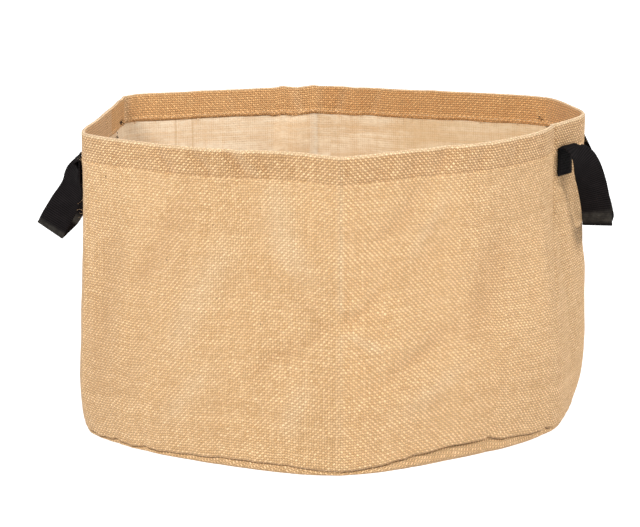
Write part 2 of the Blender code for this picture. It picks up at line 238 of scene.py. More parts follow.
# The puckers of the base seam, where a little extra wall is eased in. width is half the pucker's
# length along the seam, lift is how far the seam rises there and pinch how deep it is drawn in.
Pucker = namedtuple("Pucker", "angle width lift pinch")
PUCKERS = [
    Pucker(4, 9, -0.5, 0.3), Pucker(14, 8, 0.8, 0.8), Pucker(18.5, 5, 1.5, 1.3),
    Pucker(24, 9, -0.6, -0.4), Pucker(33, 10, -0.4, -0.5), Pucker(41.5, 5, 2.4, 1.6),
    Pucker(46, 6, -0.9, -0.6), Pucker(57, 9, -0.5, -0.4), Pucker(64, 5, 2.0, 1.3),
    Pucker(72, 7, 0.9, -0.5), Pucker(86, 9, 0.5, 0.8), Pucker(97, 6, -0.6, -0.5),
    Pucker(109, 8, 1.2, 1.1), Pucker(121, 6, -0.6, -0.6), Pucker(134, 9, 1.3, 1.0),
    Pucker(149, 6, -0.8, -0.5), Pucker(160, 7, 1.3, 1.2), Pucker(172, 8, -0.5, -0.5),
    Pucker(187, 5, 1.2, 1.2), Pucker(199, 9, -0.6, -0.6), Pucker(211, 6, 1.4, 1.1),
    Pucker(224, 7, -0.5, -0.6), Pucker(236, 6, 1.1, 1.0), Pucker(251, 9, -0.5, -0.5),
    Pucker(263, 6, 1.2, 1.0), Pucker(275, 7, -0.6, -0.5), Pucker(286, 5, 1.5, 1.4),
    Pucker(297, 5, -1.0, -0.7), Pucker(303, 4, 1.8, 1.5), Pucker(308.5, 4, -0.9, -0.8),
    Pucker(312.5, 3.5, 1.6, 1.4), Pucker(317, 5, -0.8, -0.5), Pucker(326, 6, 0.8, 0.6),
    Pucker(334, 7, 0.9, 0.8), Pucker(343, 6, -0.5, -0.5), Pucker(350, 6, 0.7, 0.5),
]
PUCKER_HEIGHT = 0.016
LOWEST_DRESSED_SEAM = 0.0026

pucker_lift = np.zeros(COLUMNS)
pucker_pinch = np.zeros(COLUMNS)
for pucker in PUCKERS:
    aside = turned_from(pucker.angle) * measured_radii[0]
    share = np.exp(-(aside / (pucker.width * MILLIMETRE)) ** 2)
    pucker_lift += share * pucker.lift * MILLIMETRE
    pucker_pinch += share * pucker.pinch * MILLIMETRE
seam_heights = np.clip(seam_heights + pucker_lift, LOWEST_DRESSED_SEAM, None)

girth_step = float(measured_radii.mean()) * 2 * math.pi / COLUMNS


def even_noise(rows, row_step, blur_up, blur_round, seed):
    """Smooth even unevenness over the wall, from about -1 to 1, with its blur in metres."""
    grid = np.random.default_rng(seed).normal(size=(rows, COLUMNS))
    grid = smoothed(grid, blur_round / girth_step)
    grid = smoothed(grid, blur_up / row_step, axis=0)
    return grid / np.abs(grid).max()


# The cloth's slack, in broad, middling and fine waves: how far each is blurred up and round the
# wall, its seed, and how far it stands out.
SLACK_WAVES = ((0.026, 0.030, 11, 0.0013), (0.010, 0.011, 12, 0.0007), (0.004, 0.022, 13, 0.00022))
SLACK_ROWS = 80
slack_step = WALL_HEIGHT / SLACK_ROWS
slack = np.zeros((SLACK_ROWS, COLUMNS))
for blur_up, blur_round, seed, stand_out in SLACK_WAVES:
    slack += even_noise(SLACK_ROWS, slack_step, blur_up, blur_round, seed) * stand_out

# The creases stand out by this many times their depths.
CREASE_SHARE = 1.55


def creased(heights):
    """How far the creases push out the wall in every column, each at its own height."""
    total = np.zeros(COLUMNS)
    for crease in CREASES:
        slant = math.radians(crease.slant)
        aside = turned_from(crease.angle) * MEAN_RADIUS
        rise = heights - crease.height * MILLIMETRE
        across = (aside * math.cos(slant) - rise * math.sin(slant)) / (crease.width * MILLIMETRE)
        along = (aside * math.sin(slant) + rise * math.cos(slant)) / (crease.length * MILLIMETRE)
        total += crease.depth * MILLIMETRE * np.exp(-across**2 - along**4)
    return total * CREASE_SHARE


# The handles' ends are sewn on at these angles, round this height. The cloth is flat there, and its
# unevenness comes back past the edges of the webbing over the widths of an ease.
SEWN_ANGLES = (85.0, 112.5, 257.5, 286.5)
SEWN_HEIGHT = 0.26
SEWN_HALF_WIDTH, SEWN_SIDE_EASE = 0.016, 0.004
SEWN_HALF_HEIGHT, SEWN_END_EASE = 0.015, 0.005


def between_rows(table, places):
    """A table's values in every column, at places counted in its rows."""
    below = np.minimum(places.astype(int), len(table) - 2)
    part = places - below
    return table[below, column_numbers] * (1 - part) + table[below + 1, column_numbers] * part


def relief(heights):
    """How far the creases, the puckers and the cloth's slack push out the wall at some heights."""
    total = creased(heights)
    total += between_rows(slack, np.clip(heights / slack_step, 0, SLACK_ROWS - 1.001))
    for angle in SEWN_ANGLES:
        aside = np.abs(turned_from(angle)) * MEAN_RADIUS - SEWN_HALF_WIDTH
        above = np.abs(heights - SEWN_HEIGHT) - SEWN_HALF_HEIGHT
        aside = np.clip(aside, 0, None) / SEWN_SIDE_EASE
        above = np.clip(above, 0, None) / SEWN_END_EASE
        total *= 1 - np.exp(-aside**2 - above**2)
    over_seam = (heights - seam_heights) / PUCKER_HEIGHT
    total -= pucker_pinch * np.exp(-np.clip(over_seam, 0, None) ** 2)
    return total


# The hem's stitches draw a groove into the outside: how far under the rim, how wide and how deep.
GROOVE_DOWN = 0.0272
GROOVE_HALF_WIDTH = 0.0011
GROOVE_DEPTH = 0.00055


def wall_radii(heights):
    """The outer radius of the dressed wall in every column, each at its own height."""
    span = highest_measured - lowest_measured
    shares = np.clip((heights - lowest_measured) / span, 0, 1)
    radii = between_rows(measured_radii, shares * (MEASURED - 1))
    over_seam = np.clip((heights - seam_heights) / SEAM_ROLL, 0, 1)
    rolled = SEAM_INSET * (1 - np.sqrt(1 - (1 - over_seam) ** 2))
    groove = GROOVE_DEPTH * np.exp(-((rim_heights - heights - GROOVE_DOWN) / GROOVE_HALF_WIDTH) ** 2)
    return radii - rolled - groove + relief(heights)


# The rows of the cloth: how far up from the base seam the first lie, how many follow evenly, how far
# down from the rim the hem's lie outside and inside, and how many steps turn the hem over the rim.
LOW_ROWS = (0.0, 0.0006, 0.0014, 0.0024, 0.0036, 0.0052, 0.0072, 0.0096)
WALL_ROWS = 60
WALL_ROWS_FROM, WALL_ROWS_TO = 0.0125, 0.0365
HEM_DOWNS = (0.0335, 0.0315, 0.030, 0.029, 0.0282, 0.0276, 0.0270, 0.0264, 0.0254, 0.0240,
             0.0215, 0.0185, 0.0155, 0.0125, 0.0095, 0.0068, 0.0045, 0.0030)
TURN_STEPS = 8
INSIDE_DOWNS = (0.0035, 0.0060, 0.0090, 0.0120, 0.0150, 0.0180, 0.0210, 0.0240, 0.0262, 0.0272,
                0.0282, 0.0292, 0.0298)
# The hem's lower edge inside isn't cut quite straight, and steps where the cloth's ends overlap. Its
# noise has these rows, their step, how far it is blurred up and round, and its seed.
EDGE_NOISE = (4, 0.01, 0.01, 0.012, 14)
EDGE_WAVE = 0.0012
OVERLAP_ANGLE = 195.6
EDGE_UP, EDGE_DOWN = 0.0011, -0.0009
EDGE_BLUR = 0.6
# The stitches press that edge to the wall, from this far down on, and its last row is rounded off.
PRESSED_FROM, PRESSED_OVER, PRESSED_BY = 0.018, 0.010, 0.0006
ROUNDED_BY = 0.0012

# Each row is its radii and its heights, column by column.
wall_rows = []
for rise in LOW_ROWS:
    heights = seam_heights + rise
    wall_rows.append((wall_radii(heights), heights))
wall_low = seam_heights + WALL_ROWS_FROM
wall_top = rim_heights - WALL_ROWS_TO
for step in range(WALL_ROWS):
    heights = wall_low + (wall_top - wall_low) * step / (WALL_ROWS - 1)
    wall_rows.append((wall_radii(heights), heights))
for down in HEM_DOWNS:
    heights = rim_heights - down
    wall_rows.append((wall_radii(heights), heights))
turn_radius = HEM_THICKNESS / 2
outer_top = wall_radii(rim_heights - turn_radius)
for step in range(TURN_STEPS + 1):
    turn = math.pi * step / TURN_STEPS
    heights = rim_heights - turn_radius * (1 - math.sin(turn))
    wall_rows.append((outer_top - turn_radius * (1 - math.cos(turn)), heights))
hem_edge = even_noise(*EDGE_NOISE)[0] * EDGE_WAVE
hem_edge += np.where(np.degrees(column_angles) % 360 < OVERLAP_ANGLE, EDGE_UP, EDGE_DOWN)
hem_edge = smoothed(hem_edge, EDGE_BLUR)
for down in INSIDE_DOWNS:
    heights = rim_heights - down - hem_edge * (down / HEM_DEPTH) ** 4
    pressed = PRESSED_BY * min(1.0, max(0.0, (down - PRESSED_FROM) / PRESSED_OVER))
    rounded = ROUNDED_BY if down == INSIDE_DOWNS[-1] else 0.0
    radii = wall_radii(rim_heights - down) - HEM_THICKNESS + pressed + rounded
    wall_rows.append((radii, heights))


def new_piece(name, points, faces, threads=None):
    """A smooth mesh in the scene, with its threads' places as a map where it is woven."""
    mesh = bpy.data.meshes.new(name)
    mesh.from_pydata(points, [], faces)
    if threads is not None:
        mesh.uv_layers.new(name="threads").data.foreach_set("uv", threads)
    mesh.shade_smooth()
    made = bpy.data.objects.new(name, mesh)
    bpy.context.scene.collection.objects.link(made)
    return made


def band_faces(rows, around):
    """The faces between rings of points, that many points around."""
    faces = []
    for row in range(rows - 1):
        low, high = row * around, (row + 1) * around
        for spot in range(around):
            after = (spot + 1) % around
            faces.append((low + spot, high + spot, high + after, low + after))
    return faces


def ring_points(rows):
    """The points of rows of radii and heights, column by column."""
    points = []
    for radii, heights in rows:
        for column, angle in enumerate(column_angles):
            place = BAG_MIDDLE + away(angle) * float(radii[column])
            points.append((place.x, place.y, float(heights[column])))
    return points


def cloth_mesh(name, rows, along, up):
    """A closed band of cloth from rows of radii and heights, with its threads' places as a map."""
    faces = []
    threads = []
    for row in range(len(rows) - 1):
        for column in range(COLUMNS):
            after = (column + 1) % COLUMNS
            low, high = row * COLUMNS, (row + 1) * COLUMNS
            faces.append((low + column, low + after, high + after, high + column))
            left, right = along[column], along[column + 1]
            threads += [left, up[row], right, up[row], right, up[row + 1], left, up[row + 1]]
    return new_piece(name, ring_points(rows), faces, threads)


def thickened(piece):
    """Gives a sheet its thickness behind its face, with the finish of its second slot there."""
    solid = piece.modifiers.new("cloth", "SOLIDIFY")
    solid.thickness = CLOTH
    solid.offset = -1.0
    solid.material_offset = 1
    bpy.context.view_layer.objects.active = piece
    piece.select_set(True)
    bpy.ops.object.modifier_apply(modifier=solid.name)
    piece.select_set(False)


def thread_places(rows):
    """How far round and up the cloth its columns and rows lie, in metres along the cloth."""
    spots = []
    for radii, heights in rows:
        xs = radii * np.sin(column_angles)
        ys = -radii * np.cos(column_angles)
        spots.append(np.stack([xs, ys, heights], 1))
    spots = np.array(spots)
    sides = np.linalg.norm(spots - np.roll(spots, -1, 1), axis=2).mean(0)
    along = np.concatenate([[0.0], np.cumsum(sides)])
    climbs = np.linalg.norm(np.diff(spots, axis=0), axis=2).mean(1)
    return along * (YARNS_ROUND * YARN_PITCH / along[-1]), np.concatenate([[0.0], np.cumsum(climbs)])


# A crease that stands out this far gets the full painted light, pale all over, and one that dips as
# far the full painted shade, dark.
CREASE_FULLY_PAINTED = 0.004

along, up = thread_places(wall_rows)
wall = cloth_mesh("jute_wall", wall_rows, along, up)
# Each point's painted crease light and shade, by how far the creases push it out or in.
crease_light_shade = np.array([creased(heights) for _, heights in wall_rows]).ravel() / CREASE_FULLY_PAINTED
crease_paint = wall.data.attributes.new("crease_light_shade", "FLOAT", "POINT")
crease_paint.data.foreach_set("value", np.clip(crease_light_shade, -1, 1).astype(np.float32))


class Wire:
    """A socket of a material's nodes, which Python's own sums turn into maths nodes."""

    def __init__(self, tree, socket):
        self.tree = tree
        self.socket = socket

    def node(self, kind, settings=None, inputs=None, output=0):
        """Adds a node: its settings first, then the value or link of each of its sockets."""
        added = self.tree.nodes.new(kind)
        for name, value in (settings or {}).items():
            setattr(added, name, value)
        for name, value in (inputs or {}).items():
            if isinstance(value, Wire):
                self.tree.links.new(value.socket, added.inputs[name])
            else:
                added.inputs[name].default_value = value
        return Wire(self.tree, added.outputs[output])

    def maths(self, operation, *others):
        """One sum on this value and others."""
        return self.node("ShaderNodeMath", {"operation": operation}, dict(enumerate((self, *others))))

    def __add__(self, other):
        return self.maths("ADD", other)

    def __sub__(self, other):
        return self.maths("SUBTRACT", other)

    def __rsub__(self, other):
        return self * -1.0 + other

    def __mul__(self, other):
        return self.maths("MULTIPLY", other)

    def __truediv__(self, other):
        return self.maths("DIVIDE", other)

    def __pow__(self, other):
        return self.maths("POWER", other)

    __radd__ = __add__
    __rmul__ = __mul__

    def clear(self, low, high):
        """Runs smoothly from 0 at low to 1 at high."""
        ends = {"Value": self, "From Min": low, "From Max": high}
        return self.node("ShaderNodeMapRange", {"interpolation_type": "SMOOTHSTEP"}, ends)

    def band(self, rise_from, rise_to, fall_from, fall_to):
        """Runs smoothly from 0 up to 1 and back to 0."""
        return self.clear(rise_from, rise_to) * (1.0 - self.clear(fall_from, fall_to))

    def noise(self, scale, detail=2.0, roughness=0.5):
        """Noise over this place, from about 0.2 to 0.8."""
        inputs = {"Vector": self, "Scale": scale, "Detail": detail, "Roughness": roughness}
        return self.node("ShaderNodeTexNoise", {"noise_dimensions": "3D"}, inputs)

    def squeezed(self, along, over):
        """This place on a map with these scales, so that its noise is drawn out."""
        return self.node("ShaderNodeMapping", None, {"Vector": self, "Scale": (along, over, 1)})

    def between(self, first, second):
        """The colour at this share of the way from one colour to another."""
        inputs = {"Factor": self, 6: (*first, 1.0), 7: (*second, 1.0)}
        return self.node("ShaderNodeMix", {"data_type": "RGBA"}, inputs, 2)

    def mixed(self, share, other):
        """This colour, with a share of another."""
        colour = other if isinstance(other, Wire) else (*other, 1.0)
        return self.node("ShaderNodeMix", {"data_type": "RGBA"}, {"Factor": share, 6: self, 7: colour}, 2)

    def bump(self, strength, distance):
        """The normals of a surface with this height."""
        inputs = {"Height": self, "Strength": strength, "Distance": distance}
        return self.node("ShaderNodeBump", None, inputs)


def new_finish(name):
    """A material with its shader, and a wire from which its other nodes are made."""
    finish = bpy.data.materials.new(name)
    finish.use_nodes = True
    tree = finish.node_tree
    return finish, tree.nodes["Principled BSDF"], Wire(tree, None)


def joined(shader, colour, normal, roughness, specular):
    """Joins a colour and a bump to a shader, and sets what is the same all over."""
    colour.tree.links.new(colour.socket, shader.inputs["Base Color"])
    normal.tree.links.new(normal.socket, shader.inputs["Normal"])
    shader.inputs["Roughness"].default_value = roughness
    shader.inputs["Specular IOR Level"].default_value = specular


def thread_map(start):
    """The places round and up the cloth, as a vector and as two numbers."""
    place = start.node("ShaderNodeUVMap", {"uv_map": "threads"})
    across = place.node("ShaderNodeSeparateXYZ", None, {0: place})
    return place, across, Wire(place.tree, across.socket.node.outputs[1])


def scattered(number, shift):
    """A random share from 0 to 1 for each whole number."""
    return number.node("ShaderNodeTexWhiteNoise", {"noise_dimensions": "1D"}, {"W": number + shift})


def weave(place, across, upward, lean):
    """The relief and the yarns of a plain weave: height, share on top, and yarns' chances.

    The weft stands out more than the warp. Its knuckles slope by lean, up to the right where it is
    1 and down to the right where it is -1.
    """
    wobble = place.noise(190.0, 1.0) * 0.55
    warps_passed = across / YARN_PITCH + place.noise(24.0, 1.0) * 1.2 + wobble
    wefts_passed = upward / YARN_PITCH + place.noise(31.0, 1.0) * 1.2 + wobble
    warp_number = warps_passed.maths("FLOOR")
    weft_number = wefts_passed.maths("FLOOR")
    on_top = (warp_number + weft_number).maths("FLOORED_MODULO", 2.0) * 2.0 - 1.0
    from_warp = warps_passed - warp_number - 0.5
    sloped = lean * (from_warp * (2 * math.pi)).maths("SINE") * KNUCKLE_LEAN
    from_weft = wefts_passed - weft_number - 0.5 - sloped
    warp_chance = scattered(warp_number, 0.13)
    weft_chance = scattered(weft_number, 71.7)
    knuckle_chance = scattered(warp_number + weft_number * 57.3, 9.1)
    warp_half = warp_chance * 0.12 + 0.30
    weft_half = weft_chance * 0.08 + knuckle_chance * 0.14 + 0.30
    warp_round = (1.0 - (from_warp / warp_half) ** 2.0).maths("MAXIMUM", 0.0) ** 0.5
    weft_round = (1.0 - (from_weft / weft_half) ** 2.0).maths("MAXIMUM", 0.0) ** 0.5
    warp = warp_round * (on_top * (from_weft * math.pi).maths("COSINE") * 0.22 + 0.30)
    weft = weft_round * (0.55 - on_top * (from_warp * math.pi).maths("COSINE") * 0.45)
    height = warp.maths("SMOOTH_MAX", weft, 0.08)
    weft_on_top = (weft - warp).clear(-0.15, 0.15)
    return height, weft_on_top, warp_chance, weft_chance, knuckle_chance


# The jute's colours: its yarns outside and on the hem's inner side, the painted shade between them,
# what is mixed in at the back and the left of the hem, the painted light on crease ridges and the
# painted shade in crease hollows, stains, and the painted highlight at the rim.
LIGHT_JUTE, DARK_JUTE = (1.0, 0.695, 0.390), (0.76, 0.468, 0.207)
LIGHT_HEM, DARK_HEM = (1.0, 0.592, 0.256), (0.885, 0.437, 0.157)
GAP_SHADE_JUTE = (0.26, 0.122, 0.042)
BACK_HEM, LEFT_HEM = (1.0, 0.72, 0.38), (1.0, 0.78, 0.52)
CREASE_RIDGE_LIGHT_JUTE, CREASE_HOLLOW_SHADE_JUTE = (1.0, 0.80, 0.53), (0.62, 0.36, 0.16)
STAINED_JUTE = (0.60, 0.34, 0.14)
RIM_HIGHLIGHT_JUTE = (1.0, 0.80, 0.54)
KNUCKLE_LEAN = 0.19


def jute_finish(name, fold_at, hem_from, rim_at):
    """Coarse jute: round hairy yarns of uneven tone with painted shade between them, stained here
    and there.

    The knuckles lean towards the front fold from both sides. From hem_from up the cloth is double and
    the painted shade between its yarns is deeper, and past rim_at it is the hem's inner side, a warmer
    brown. The creases' ridges get painted light and their hollows painted shade, and the rim a painted
    highlight.
    """
    finish, shader, start = new_finish(name)
    place, across, upward = thread_map(start)
    inner = upward.clear(rim_at - 0.002, rim_at + 0.004)
    lean = (1.0 - across.clear(fold_at - 0.001, fold_at + 0.001) * 1.9) * (1.0 - inner * 2.0)
    relief_and_yarns = weave(place, across, upward, lean)
    height, weft_on_top, warp_chance, weft_chance, knuckle_chance = relief_and_yarns
    weft_tone = weft_chance * 0.16 + place.squeezed(55, 400).noise(1.0, 3.0, 0.6) * 0.84
    warp_tone = warp_chance * 0.16 + place.squeezed(400, 55).noise(1.0, 3.0, 0.6) * 0.84
    yarn_tone = (weft_tone * weft_on_top + warp_tone * (1.0 - weft_on_top)).clear(0.2, 0.8)
    cloudy = place.noise(19.0, 3.0, 0.55).clear(0.28, 0.72)
    tone = yarn_tone * 0.40 + cloudy * 0.12 + knuckle_chance * 0.48
    hem_yarn = tone.between(DARK_HEM, LIGHT_HEM)
    hem_yarn = hem_yarn.mixed(across.band(0.004, 0.012, 0.30, 0.40) * 0.18, BACK_HEM)
    hem_yarn = hem_yarn.mixed(across.band(0.326, 0.329, 0.46, 0.54) * 0.42, LEFT_HEM)
    yarn = tone.between(DARK_JUTE, LIGHT_JUTE).mixed(inner, hem_yarn)
    # Painted light on the creases' ridges and painted shade in their hollows.
    crease_light_shade = start.node("ShaderNodeAttribute", {"attribute_name": "crease_light_shade"}, None, 2)
    yarn = yarn.mixed(crease_light_shade.clear(0.0, 1.0) * 0.45, CREASE_RIDGE_LIGHT_JUTE)
    yarn = yarn.mixed((crease_light_shade * -1.0).clear(0.0, 1.0) * 0.36, CREASE_HOLLOW_SHADE_JUTE)
    yarn = yarn.mixed(place.noise(38.0, 4.0, 0.6).clear(0.58, 0.74) * 0.20, STAINED_JUTE)
    # A painted highlight along the fold of the rim.
    rim_highlight = upward.band(rim_at - 0.0055, rim_at - 0.002, rim_at, rim_at + 0.004)
    yarn = yarn.mixed(rim_highlight * 0.55, RIM_HIGHLIGHT_JUTE)
    hem = upward.clear(hem_from - 0.003, hem_from + 0.003)
    # Painted shade between the yarns where the weave's height is low: deeper on the hem, lighter on the
    # hem's inner side and on the rim.
    gap_shade_share = 0.72 + hem * 0.19 - inner * 0.20 - rim_highlight * 0.30
    colour = yarn.mixed((1.0 - height).clear(0.12, 0.85) * gap_shade_share, GAP_SHADE_JUTE)
    hairs = place.noise(1500.0, 2.0, 0.7)
    joined(shader, colour, (height + hairs * 0.10).bump(1.0, 0.0016), 0.88, 0.25)
    shader.inputs["Sheen Weight"].default_value = 0.10
    shader.inputs["Sheen Roughness"].default_value = 0.5
    return finish


# The film's colours: its cloudy ground, what is mixed in at its pale side, at the strip by the back
# fold and at its tan side, the yarns that show through it, and the grid that they are pressed into.
FILM_DARK, FILM_LIGHT = (0.655, 0.482, 0.302), (0.785, 0.650, 0.470)
FILM_PALE, FILM_STRIP, FILM_TAN = (0.58, 0.52, 0.43), (0.80, 0.72, 0.58), (0.60, 0.42, 0.22)
DRAWN_YARN, THICK_YARN, YARN_GRID = (0.62, 0.38, 0.17), (0.46, 0.29, 0.14), (0.46, 0.265, 0.115)
THICK_YARNS_AT = (0.1591, 0.1779)


def yarn_line(passed):
    """Dark between two yarns of the pressed weave, from how far the cloth has passed."""
    return ((passed / YARN_PITCH).maths("FRACT") * 2.0 - 1.0).maths("ABSOLUTE").clear(0.55, 1.0)


def lined_finish(name):
    """The cloth's inner side: the same weave pressed flat under a thin pale film."""
    finish, shader, start = new_finish(name)
    place, across, upward = thread_map(start)
    height, _, warp_chance, weft_chance, _ = weave(place, across, upward, 0.0)
    cloudy = place.noise(21.0, 3.0, 0.6) * 0.35 + place.squeezed(14, 120).noise(1.0, 4.0, 0.65) * 0.65
    tone = cloudy.clear(0.38, 0.62).between(FILM_DARK, FILM_LIGHT)
    tone = tone.mixed(across.band(0.0660, 0.0675, 0.70, 0.80) * 0.22, FILM_PALE)
    tone = tone.mixed(across.band(0.014, 0.017, 0.022, 0.026) * 0.55, FILM_STRIP)
    tone = tone.mixed(across.band(1.25, 1.35, 1.46, 1.53) * 0.45, FILM_TAN)
    drawn = weft_chance.clear(0.72, 1.0) * 0.5 + warp_chance.clear(0.72, 1.0) * 0.4
    tone = tone.mixed(drawn * 0.35, DRAWN_YARN)
    for thick_yarn in THICK_YARNS_AT:
        off_yarn = (across - thick_yarn).maths("ABSOLUTE")
        tone = tone.mixed((1.0 - off_yarn.clear(0.0004, 0.0014)) * 0.45, THICK_YARN)
    lines = yarn_line(across).maths("MAXIMUM", yarn_line(upward))
    grid = lines * place.noise(150.0, 3.0).clear(0.3, 0.65)
    joined(shader, tone.mixed(grid * 0.56, YARN_GRID), height.bump(0.5, 0.0005), 0.6, 0.35)
    return finish


# The rows that the stitches run along outside and inside, and the front fold's angle.
OUTER_STITCH_DOWN, INNER_STITCH_DOWN = 0.0276, 0.0262
FRONT_FOLD = 1.5
stitch_row = len(LOW_ROWS) + WALL_ROWS + HEM_DOWNS.index(OUTER_STITCH_DOWN)
rim_row = len(LOW_ROWS) + WALL_ROWS + len(HEM_DOWNS) + TURN_STEPS // 2
fold_at = float(along[round(COLUMNS * (180 + FRONT_FOLD) / 360)])
jute = jute_finish("jute cloth", fold_at, float(up[stitch_row]), float(up[rim_row]))
lining = lined_finish("lined inner side")
wall.data.materials.append(jute)
wall.data.materials.append(lining)
thickened(wall)

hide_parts("bag_wall")
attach(wall, "root")


# The hem's stitching
# One row of lockstitch in jute-coloured thread, 27 mm below the rim, goes through the wall and the
# turned-in edge. Each stitch is a short tight thread that dips into the cloth at both ends.

STITCH_PITCH = 0.0056
STITCH_LENGTH = 0.0043
THREAD_RADIUS = 0.00042
# How far a stitch strays along the row, in stitches, and up or down from it.
STITCH_SHIFT, STITCH_LIFT = 0.06, 0.0003
# The radius that turns a stitch's length into an angle.
RIM_RADIUS = 0.25
# A stitch's line: shares of its half length, of its thread's radius, and of how far it stands out.
STITCH_SHAPE = ((-1.0, 0.35, -0.9), (-0.75, 0.8, 0.2), (-0.25, 1.0, 0.75), (0.25, 1.0, 0.75),
                (0.75, 0.8, 0.2), (1.0, 0.35, -0.9))
THREAD_SIDES = 6
# A thread's sides are turned by the first of these, or by the second where it runs along the first.
NEARLY_UPRIGHT, NEARLY_LEVEL = Vector((0.13, 0.21, 0.97)), Vector((0.97, 0.21, 0.13))
RUNS_ALONG = 0.2


def tube_mesh(points, faces, line, radii):
    """Adds one closed thread along a line to lists of points and faces."""
    first = len(points)
    last = len(line) - 1
    for step, (place, radius) in enumerate(zip(line, radii)):
        ahead = (line[min(step + 1, last)] - line[max(step - 1, 0)]).normalized()
        aside = ahead.cross(NEARLY_UPRIGHT)
        if aside.length < RUNS_ALONG:
            aside = ahead.cross(NEARLY_LEVEL)
        aside.normalize()
        over = aside.cross(ahead)
        for side in range(THREAD_SIDES):
            turn = 2 * math.pi * side / THREAD_SIDES
            points.append(place + (aside * math.cos(turn) + over * math.sin(turn)) * radius)
    for step in range(last):
        for side in range(THREAD_SIDES):
            low = first + step * THREAD_SIDES
            after = (side + 1) % THREAD_SIDES
            high = low + THREAD_SIDES
            faces.append((low + side, low + after, high + after, high + side))
    end = first + last * THREAD_SIDES
    faces.append(tuple(first + side for side in reversed(range(THREAD_SIDES))))
    faces.append(tuple(end + side for side in range(THREAD_SIDES)))


def threads_piece(name, points, faces, finish):
    """A piece of many threads, with its faces turned outwards."""
    made = new_piece(name, points, faces)
    work = bmesh.new()
    work.from_mesh(made.data)
    bmesh.ops.recalc_face_normals(work, faces=work.faces)
    work.to_mesh(made.data)
    work.free()
    made.data.materials.append(finish)
    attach(made, "root")


def at_angle(values, angle):
    """A value of the columns, read at any angle in radians."""
    spot = ((angle - BACK) / (2 * math.pi) * COLUMNS) % COLUMNS
    return float(np.interp(spot, column_numbers, values, period=COLUMNS))


def wall_place(angle, radii, heights):
    """A place on a ring of the wall at an angle in radians."""
    place = BAG_MIDDLE + away(angle) * at_angle(radii, angle)
    return Vector((place.x, place.y, at_angle(heights, angle)))


chance = random.Random(5)
inner_row = len(wall_rows) - len(INSIDE_DOWNS) + INSIDE_DOWNS.index(INNER_STITCH_DOWN)
points = []
faces = []
stitches = round(YARNS_ROUND * YARN_PITCH / STITCH_PITCH)
thickness = [THREAD_RADIUS * share for _, share, _ in STITCH_SHAPE]
for row, outward in ((stitch_row, 1.0), (inner_row, -1.0)):
    for stitch in range(stitches):
        middle = 2 * math.pi * (stitch + chance.uniform(-STITCH_SHIFT, STITCH_SHIFT)) / stitches
        lift = chance.uniform(-STITCH_LIFT, STITCH_LIFT)
        line = []
        for along_share, _, over in STITCH_SHAPE:
            angle = middle + along_share * STITCH_LENGTH / 2 / RIM_RADIUS
            place = wall_place(angle, *wall_rows[row])
            place += away(angle) * (outward * over * THREAD_RADIUS) + Vector((0, 0, lift))
            line.append(place)
        tube_mesh(points, faces, line, thickness)


def thread_finish(name, light, dark):
    """Spun thread: two tones along it and a fine twist."""
    finish, shader, start = new_finish(name)
    place = start.node("ShaderNodeTexCoord", None, None, 3)
    colour = place.noise(240.0, 3.0, 0.6).clear(0.3, 0.7).between(dark, light)
    joined(shader, colour, place.noise(2600.0, 1.0).bump(0.6, 0.0002), 0.8, 0.25)
    return finish


sewing_thread = thread_finish("jute sewing thread", (0.84, 0.60, 0.36), (0.60, 0.36, 0.16))
threads_piece("hem_stitches", points, faces, sewing_thread)


# The frayed edge
# The hem's cut edge inside isn't bound: loose fibres and short ends of yarn stand out of it, and
# single fine fibres stand off the coarse cloth all over.

FIBRE_RADIUS = 0.00010
YARN_END_RADIUS = 0.00045
THREAD_STEPS = 7
THREAD_TAPER = 0.6
# How many stand out of the hem's edge, how deep in it they start, and which share is ends of yarn.
EDGE_FIBRES, EDGE_ROOT, YARN_END_SHARE = 230, 0.0004, 0.22
# How many stand off the outside, how deep in it they start, and how thin they are beside the rest.
WALL_FIBRES, WALL_ROOT, WALL_FIBRE_SHARE = 330, 0.0002, 0.8
EDGE_CURL, WALL_CURL = 0.22, 0.3
# The first of the outside's fibres stand by the left handle: how many, between which angles, and how
# many rows down from the hem and up from it.
STRAP_FIBRES = 30
STRAP_FIBRE_ANGLES = (281, 293)
STRAP_ROWS_DOWN, STRAP_ROWS_UP = 14, 10


def loose_thread(points, faces, root, direction, length, radius, curl, draw):
    """One thin thread from its root, which bends at random as it goes."""
    line = [root]
    radii = [radius]
    heading = direction.normalized()
    for step in range(1, THREAD_STEPS + 1):
        wander = Vector((draw.gauss(0, curl), draw.gauss(0, curl), draw.gauss(0, curl)))
        heading = (heading + wander).normalized()
        line.append(line[-1] + heading * (length / THREAD_STEPS))
        radii.append(radius * (1 - THREAD_TAPER * step / THREAD_STEPS))
    tube_mesh(points, faces, line, radii)


def beside(angle):
    """The level direction along the wall at an angle."""
    return Vector((math.cos(angle), math.sin(angle), 0.0))


